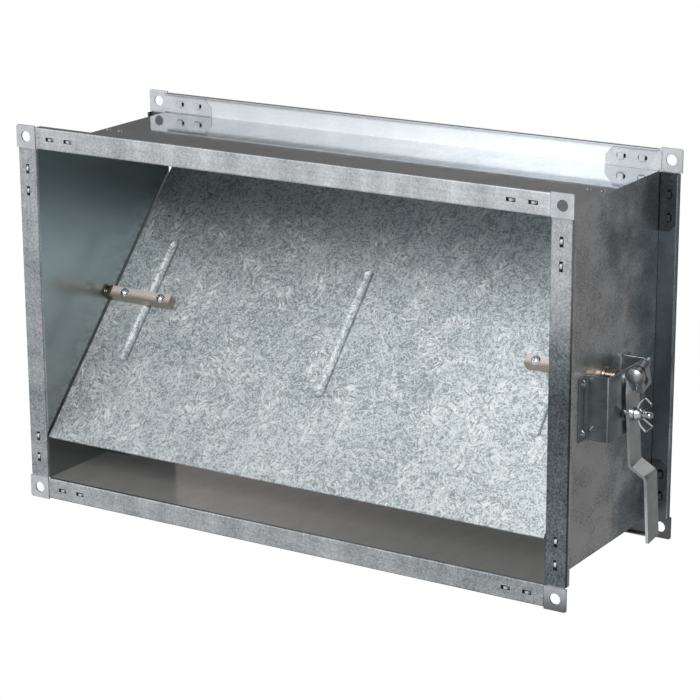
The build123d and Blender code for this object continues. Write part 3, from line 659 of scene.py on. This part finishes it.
def shaft_zinc(place, look):
    """Yellow passivated bar with pink patches, and painted shade: bronze below and at its end, dark by the
    wall.
    """
    low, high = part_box("blade")
    down = (Vector((0, low.y, low.z)) - Vector((0, high.y, high.z))).normalized()
    # Painted shade in bronze on the bar's lower side
    under = (place - PIVOT[:]).dot(down[:]).step(-look.shaft_half * 0.2, look.shaft_half)
    shade, varied, patch = brushed(place, SHAFT_GRAIN)
    reach = place.axis("X")
    # Painted shade: dark by the wall, bronze on the bar's inner end
    outer = high.x - look.painted_shade_length
    ring = (reach * reach).step(outer**2, (outer + 0.0004) ** 2)
    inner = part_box("right_shaft")[0].x
    end = 1.0 - (reach * reach).step(inner**2, (inner + 0.0006) ** 2)
    bar = under.mix(patch.mix(look.yellow[:], look.pink[:]), look.bronze[:])
    tone = ring.mix(end.mix(bar, look.bronze[:]), look.ring[:])
    return {
        "Base Color": shade * tone,
        "Metallic": look.shaft_metal,
        "Roughness": look.shaft_gloss + varied,
    }


def bright_zinc(look):
    """The finish of every bright fastener, made once."""
    dull = tuple(look.clouded * part for part in look.bright)
    return bpy.data.materials.get("bright_zinc") or material(
        "bright_zinc", plated_steel, look.bright, dull, look.gloss, EVEN_GRAIN
    )


class DAMPER_OT_casing(bpy.types.Operator):
    """Finishes the four folded panels"""

    bl_idname = "damper.casing"
    bl_label = "Casing"

    def execute(self, context):
        look = context.scene.damper_casing
        # Each sheet's strip tones and the wall colours at its two ends are painted reflection and painted
        # light
        sheets = {
            "top_panel": Sheet(
                run="X", low=0.64, middle=0.67, high=0.74, back=1.0, matte=0.9, wall_matte=0.0,
                wall_low=(0.66, 0.67, 0.68), wall_high=(0.95, 0.98, 1.0), gloss=0.06, mottled=0.3,
            ),
            "bottom_panel": Sheet(
                run="X", low=0.57, middle=0.54, high=0.46, back=0.6, matte=0.0, wall_matte=0.3,
                wall_low=(0.9, 0.87, 0.84), wall_high=(0.44, 0.44, 0.43), gloss=0.13, mottled=0.3,
            ),
            "left_panel": Sheet(
                run="Z", low=0.46, middle=0.46, high=0.53, back=0.5, matte=0.0, wall_matte=0.0,
                wall_low=(0.28, 0.305, 0.305), wall_high=(0.43, 0.51, 0.515), gloss=0.24, mottled=0.06,
            ),
            "right_panel": Sheet(
                run="Z", low=0.2, middle=0.12, high=0.58, back=0.26, matte=0.0, wall_matte=0.0,
                wall_low=(1.0, 1.0, 0.98), wall_high=(0.9, 0.9, 0.91), gloss=0.4, mottled=0.9,
            ),
        }
        for name, sheet in sheets.items():
            paint((name,), material(name.replace("panel", "sheet"), casing_zinc, look, sheet))
        return {"FINISHED"}


class DAMPER_OT_corners(bpy.types.Operator):
    """Finishes the eight corner plates"""

    bl_idname = "damper.corners"
    bl_label = "Corner plates"

    def execute(self, context):
        look = context.scene.damper_plate
        paint(CORNERS, material("pressed_plate", plate_zinc, look), look.rounding)
        return {"FINISHED"}


class DAMPER_OT_clinches(bpy.types.Operator):
    """Adds the straps of both flanges' clinches, over dark pits of painted shadow"""

    bl_idname = "damper.clinches"
    bl_label = "Clinch straps"

    def execute(self, context):
        look = context.scene.damper_clinch
        duct_x = PLATE_HIGH.x - look.edge
        duct_z = PLATE_HIGH.z - look.edge
        level = duct_z + look.middle
        upright = duct_x + look.middle
        quarters = [(side, end) for side in (1, -1) for end in (1, -1)]
        spots = []
        for number in range(2):
            across = duct_x - look.first_across - number * look.pitch
            up = duct_z - look.first_up - number * look.pitch
            spots += [((across * side, level * end), 0.0) for side, end in quarters]
            spots += [((upright * side, up * end), tau / 4) for side, end in quarters]
        finish = bright_zinc(context.scene.damper_fitting)
        shadow = material(
            "clinch_shadow", plated_steel, look.shadow, look.shadow, look.shadow_gloss, EVEN_GRAIN
        )
        faces = {"front": look.face, "back": PIVOT.y * 2 - look.face}
        for flange, face in faces.items():
            inwards = 1.0 if flange == "front" else -1.0
            straps = bmesh.new()
            for (x, z), turn in spots:
                made = bmesh.ops.create_grid(straps, x_segments=8, y_segments=1, size=0.5)["verts"]
                for corner in made:
                    reach = 2 * corner.co.x
                    sunk = face + inwards * (look.dip * reach**4 - look.rise * (1 - reach * reach))
                    corner.co = (corner.co.x * look.length, sunk, corner.co.y * look.width)
                # The pit is a flat dark sheet of painted shadow under the strap's window
                pit = bmesh.ops.create_grid(straps, x_segments=1, y_segments=1, size=0.5)["verts"]
                for corner in pit:
                    sunk = face + inwards * look.dip
                    corner.co = (corner.co.x * look.window_length, sunk, corner.co.y * look.window_width)
                pit[0].link_faces[0].material_index = 1
                place = Matrix.Translation((x, 0, z)) @ Matrix.Rotation(turn, 4, "Y")
                bmesh.ops.transform(straps, matrix=place, verts=made + pit)
            bmesh.ops.solidify(straps, geom=straps.faces[:], thickness=look.sheet)
            piece = new_piece(f"{flange}_clinch_straps", straps, "casing", "galvanised_plate", finish)
            piece.data.materials.append(shadow)
        return {"FINISHED"}


class DAMPER_OT_blade(bpy.types.Operator):
    """Finishes the blade"""

    bl_idname = "damper.blade"
    bl_label = "Blade"

    def execute(self, context):
        look = context.scene.damper_blade
        paint(("blade",), material("leafy_spangle", blade_zinc, look))
        return {"FINISHED"}


class DAMPER_OT_fittings(bpy.types.Operator):
    """Finishes the bracket, the lever, the shafts and the plain fasteners"""

    bl_idname = "damper.fittings"
    bl_label = "Fittings"

    def execute(self, context):
        look = context.scene.damper_fitting
        worn = tuple(look.worn * part for part in look.bracket)
        rubbed = tuple(look.rubbed * part for part in look.lever)
        bracket = material(
            "bracket_zinc", plated_steel, look.bracket, worn, look.bracket_gloss, BRACKET_GRAIN
        )
        lever = material("lever_zinc", plated_steel, look.lever, rubbed, look.lever_gloss, LEVER_GRAIN)
        yellow = material("yellow_zinc", shaft_zinc, look)
        bronze = material(
            "bronze_zinc", plated_steel, look.bronze, look.yellow, look.bush_gloss, SHAFT_GRAIN
        )
        paint(("lever_bracket",), bracket, look.rounding)
        paint(("lever",), lever, look.rounding)
        paint(SHAFTS, yellow)
        paint(BUSHES, bronze)
        paint(BRIGHT_PLATED, bright_zinc(look))
        return {"FINISHED"}


class DAMPER_OT_clamp_bolt(bpy.types.Operator):
    """Makes the clamp's domed bolt with its thread, and its flanged nut"""

    bl_idname = "damper.clamp_bolt"
    bl_label = "Clamp bolt and nut"

    def execute(self, context):
        look = context.scene.damper_fastener
        fitting = context.scene.damper_fitting
        finish = bright_zinc(fitting)
        dull = material(
            "dull_zinc", plated_steel, fitting.dull, fitting.dull, fitting.dull_gloss, EVEN_GRAIN
        )
        along = Vector((0, cos(look.clamp_lean), sin(look.clamp_lean)))
        up = Vector((0, -sin(look.clamp_lean), cos(look.clamp_lean)))
        low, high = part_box("shaft_clamp")
        origin = Vector(((low.x + high.x) / 2, PIVOT.y, PIVOT.z)) + up * look.clamp_height
        place = standing(origin, along, up)
        nut_start = look.clamp_half + look.clamp_flange_sheet
        end = nut_start + look.clamp_nut + look.clamp_end
        profile = bolt(
            look.clamp_head, look.clamp_rise, -look.clamp_half, nut_start, end, look.clamp_shank, look.pitch
        )
        new_piece("domed_clamp_bolt", put(turned(profile), place), "blade_assembly", "bright_zinc", dull,
                  "clamp_bolt")
        nut = bmesh.new()
        corner = look.clamp_flats / 2 / cos(tau / 12)
        add_prism(nut, 6, corner, nut_start, look.clamp_nut)
        bmesh.ops.bevel(nut, geom=nut.edges[:], offset=look.clamp_nut_edge, offset_type="OFFSET", segments=2,
                        profile=0.5, affect="EDGES", material=-1)
        add_prism(nut, 40, look.clamp_flange, look.clamp_half, look.clamp_flange_sheet)
        new_piece("flanged_clamp_nut", put(nut, place), "blade_assembly", "bright_zinc", finish,
                  "clamp_nut")
        return {"FINISHED"}


class DAMPER_OT_lock_bolt(bpy.types.Operator):
    """Makes the threaded lock bolt and its dished wing nut"""

    bl_idname = "damper.lock_bolt"
    bl_label = "Lock bolt and wing nut"

    def execute(self, context):
        look = context.scene.damper_fastener
        fitting = context.scene.damper_fitting
        finish = bright_zinc(fitting)
        hollow = material(
            "painted_hollow_shade", plated_steel, fitting.hollow, fitting.hollow, fitting.hollow_gloss, EVEN_GRAIN
        )
        washer_low, washer_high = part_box("lock_washer")
        centre = (washer_low + washer_high) / 2
        up = Vector((0, -sin(look.lever_tilt), cos(look.lever_tilt)))
        place = standing(Vector((0, centre.y, centre.z)), Vector((1, 0, 0)), up)
        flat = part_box("lock_bolt")[0].x + look.lock_rise
        nut_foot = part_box("wing_nut")[0].x
        bolt_end = nut_foot + look.lock_end
        profile = bolt(
            look.lock_head, look.lock_rise, flat, nut_foot, bolt_end, look.lock_shank, look.pitch
        )
        new_piece("threaded_lock_bolt", put(turned(profile), place), "blade_assembly", "bright_zinc",
                  finish, "lock_bolt")
        hub_end = nut_foot + look.hub_height
        bore = look.lock_shank + look.bore_gap
        hub = [
            (nut_foot, bore),
            (nut_foot, look.hub - look.hub_foot_edge),
            (nut_foot + look.hub_foot_edge, look.hub),
            (hub_end - look.hub_top_edge, look.hub_top),
            (hub_end, look.hub_top - look.hub_top_edge),
            (hub_end, bore),
        ]
        nut = turned(hub + hub[:1])
        half_span = look.wing_span / 2
        wing = [
            (look.wing_foot, bore + look.wing_foot),
            (look.wing_tip * look.wing_belly_rise, look.wing_belly),
            (look.wing_tip, half_span),
            (look.wing_height, half_span - look.wing_drop),
            (look.hub_height, bore + look.wing_foot),
        ]
        for way in (1, -1):
            outline = [nut.verts.new((nut_foot + along, 0, out * way)) for along, out in wing]
            nut.faces.new(outline)
            tips = bmesh.ops.bevel(nut, geom=outline[2:4], offset=look.wing_corner, offset_type="OFFSET",
                                   segments=4, profile=0.5, affect="VERTICES", material=-1)
            face = next(each for each in nut.faces if set(tips["verts"]) <= set(each.verts))
            bmesh.ops.translate(nut, verts=face.verts, vec=(0, -look.wing_sheet / 2, 0))
            swept = bmesh.ops.extrude_face_region(nut, geom=[face], use_keep_orig=True)["geom"]
            far = next(part for part in swept if isinstance(part, bmesh.types.BMFace))
            bmesh.ops.translate(nut, verts=far.verts, vec=(0, look.wing_sheet, 0))
            bmesh.ops.inset_individual(nut, faces=[face, far], thickness=look.wing_rim, depth=0.0)
            # The hollows take the dark finish, painted shade in the recess
            for side, sink in ((face, look.wing_dish), (far, -look.wing_dish)):
                bmesh.ops.translate(nut, verts=side.verts, vec=(0, sink, 0))
                side.material_index = 1
        wings = new_piece("dished_wing_nut", put(nut, place), "wing", "bright_zinc", finish, "wing_nut")
        wings.data.materials.append(hollow)
        return {"FINISHED"}


def white_ground(place, look):
    """Evenly lit ground with no shading of its own."""
    return {
        "Base Color": 0.0,
        "Specular IOR Level": 0.0,
        "Emission Color": look.ground[:],
        "Emission Strength": 1.0,
    }


def pale_floor(look):
    """A plain floor under the part, which only the camera sees."""
    shape = bmesh.new()
    bmesh.ops.create_grid(shape, x_segments=1, y_segments=1, size=look.floor_half)
    bmesh.ops.translate(shape, verts=shape.verts, vec=(0, 0, CAD_BOX[0][2] - look.floor_gap))
    mesh = bpy.data.meshes.new("floor")
    shape.to_mesh(mesh)
    shape.free()
    mesh.materials.append(material("pale_floor", white_ground, look))
    floor = linked("floor", mesh)
    floor.visible_diffuse = False
    floor.visible_glossy = False
    floor.visible_shadow = False


def area_light(name, place, target, size, power):
    """A soft square light that faces a point."""
    lamp = bpy.data.lights.new(name, "AREA")
    lamp.energy = power
    lamp.size = size
    piece = linked(name, lamp)
    piece.location = place
    piece.rotation_euler = (target - place).to_track_quat("-Z", "Y").to_euler()


def studio_world(look):
    """A dim room with soft patches of light, and a pale ground for the camera."""
    cards = (
        Card((-0.35, -0.9, -0.1), 35, 85, (0.5, 0.51, 0.52)),
        Card((-0.4, -0.65, 0.64), 30, 62, (0.4, 0.41, 0.42)),
        Card((-0.5, 0.8, 0.33), 10, 40, (0.09, 0.088, 0.086)),
        Card((0.5, 0.8, -0.3), 15, 45, (0.1, 0.1, 0.1)),
        Card((0.05, 0.8, 0.6), 10, 30, (0.42, 0.42, 0.42)),
        Card((1.0, -0.1, -0.1), 12, 36, (0.2, 0.2, 0.2)),
        Card((-0.15, 0.95, -0.28), 8, 24, (0.18, 0.18, 0.18)),
    )
    world = bpy.data.worlds.new("studio")
    world.use_nodes = True
    world.node_tree.nodes.clear()
    aim = Wire(world.node_tree).node("ShaderNodeTexCoord", out="Generated")
    room = aim * (0.0, 0.0, 0.0) + look.gloom[:]
    for card in cards:
        towards = Vector(card.towards).normalized()
        share_lit = aim.dot(towards[:]).step(cos(radians(card.faded)), cos(radians(card.full)))
        room = room + share_lit * card.colour
    seen = aim.node("ShaderNodeLightPath", out="Is Camera Ray")
    shown = seen.mix(room, look.ground[:])
    ground = shown.node("ShaderNodeBackground", None, {"Color": shown, "Strength": 1.0})
    ground.node("ShaderNodeOutputWorld", None, {"Surface": ground})
    bpy.context.scene.world = world


class DAMPER_OT_stage(bpy.types.Operator):
    """Adds the floor, the light and the camera"""

    bl_idname = "damper.stage"
    bl_label = "Stage"

    def execute(self, context):
        look = context.scene.damper_stage
        scene = context.scene
        pale_floor(look)
        studio_world(look)
        area_light("key", look.key_stand, look.key_aim, look.key_size, look.key_power)
        lens = bpy.data.cameras.new("camera")
        lens.lens = look.lens
        camera = linked("camera", lens)
        level = cos(look.rise)
        back = Vector((sin(look.turn) * level, -cos(look.turn) * level, sin(look.rise)))
        right = Vector((0, 0, 1)).cross(back).normalized()
        across = cos(look.roll) * right + sin(look.roll) * back.cross(right)
        camera.matrix_world = standing(look.stand, across, back)
        scene.camera = camera
        scene.view_settings.view_transform = "Standard"
        return {"FINISHED"}


OPERATORS = (
    DAMPER_OT_casing, DAMPER_OT_corners, DAMPER_OT_clinches, DAMPER_OT_blade, DAMPER_OT_fittings,
    DAMPER_OT_clamp_bolt, DAMPER_OT_lock_bolt, DAMPER_OT_stage,
)
LOOKS = {
    "damper_casing": CasingLook,
    "damper_plate": PlateLook,
    "damper_clinch": ClinchLook,
    "damper_blade": BladeLook,
    "damper_fitting": FittingLook,
    "damper_fastener": FastenerLook,
    "damper_stage": StageLook,
}


class DAMPER_PT_panel(bpy.types.Panel):
    """Lists the damper's steps"""

    bl_idname = "DAMPER_PT_panel"
    bl_label = "Duct Shutoff Damper"
    bl_space_type = "VIEW_3D"
    bl_region_type = "UI"
    bl_category = "Damper"

    def draw(self, context):
        for operator in OPERATORS:
            self.layout.operator(operator.bl_idname)
        for name, look in LOOKS.items():
            box = self.layout.box()
            for prop in look.__annotations__:
                box.prop(getattr(context.scene, name), prop)


def register():
    for group in (*LOOKS.values(), *OPERATORS, DAMPER_PT_panel):
        bpy.utils.register_class(group)
    for name, look in LOOKS.items():
        setattr(bpy.types.Scene, name, PointerProperty(type=look))


def unregister():
    for name in LOOKS:
        delattr(bpy.types.Scene, name)
    for group in (DAMPER_PT_panel, *OPERATORS, *LOOKS.values()):
        bpy.utils.unregister_class(group)


def main():
    register()
    bpy.ops.damper.casing()
    bpy.ops.damper.corners()
    bpy.ops.damper.clinches()
    bpy.ops.damper.blade()
    bpy.ops.damper.fittings()
    bpy.ops.damper.clamp_bolt()
    bpy.ops.damper.lock_bolt()
    bpy.ops.damper.stage()


if __name__ == "__main__":
    main()
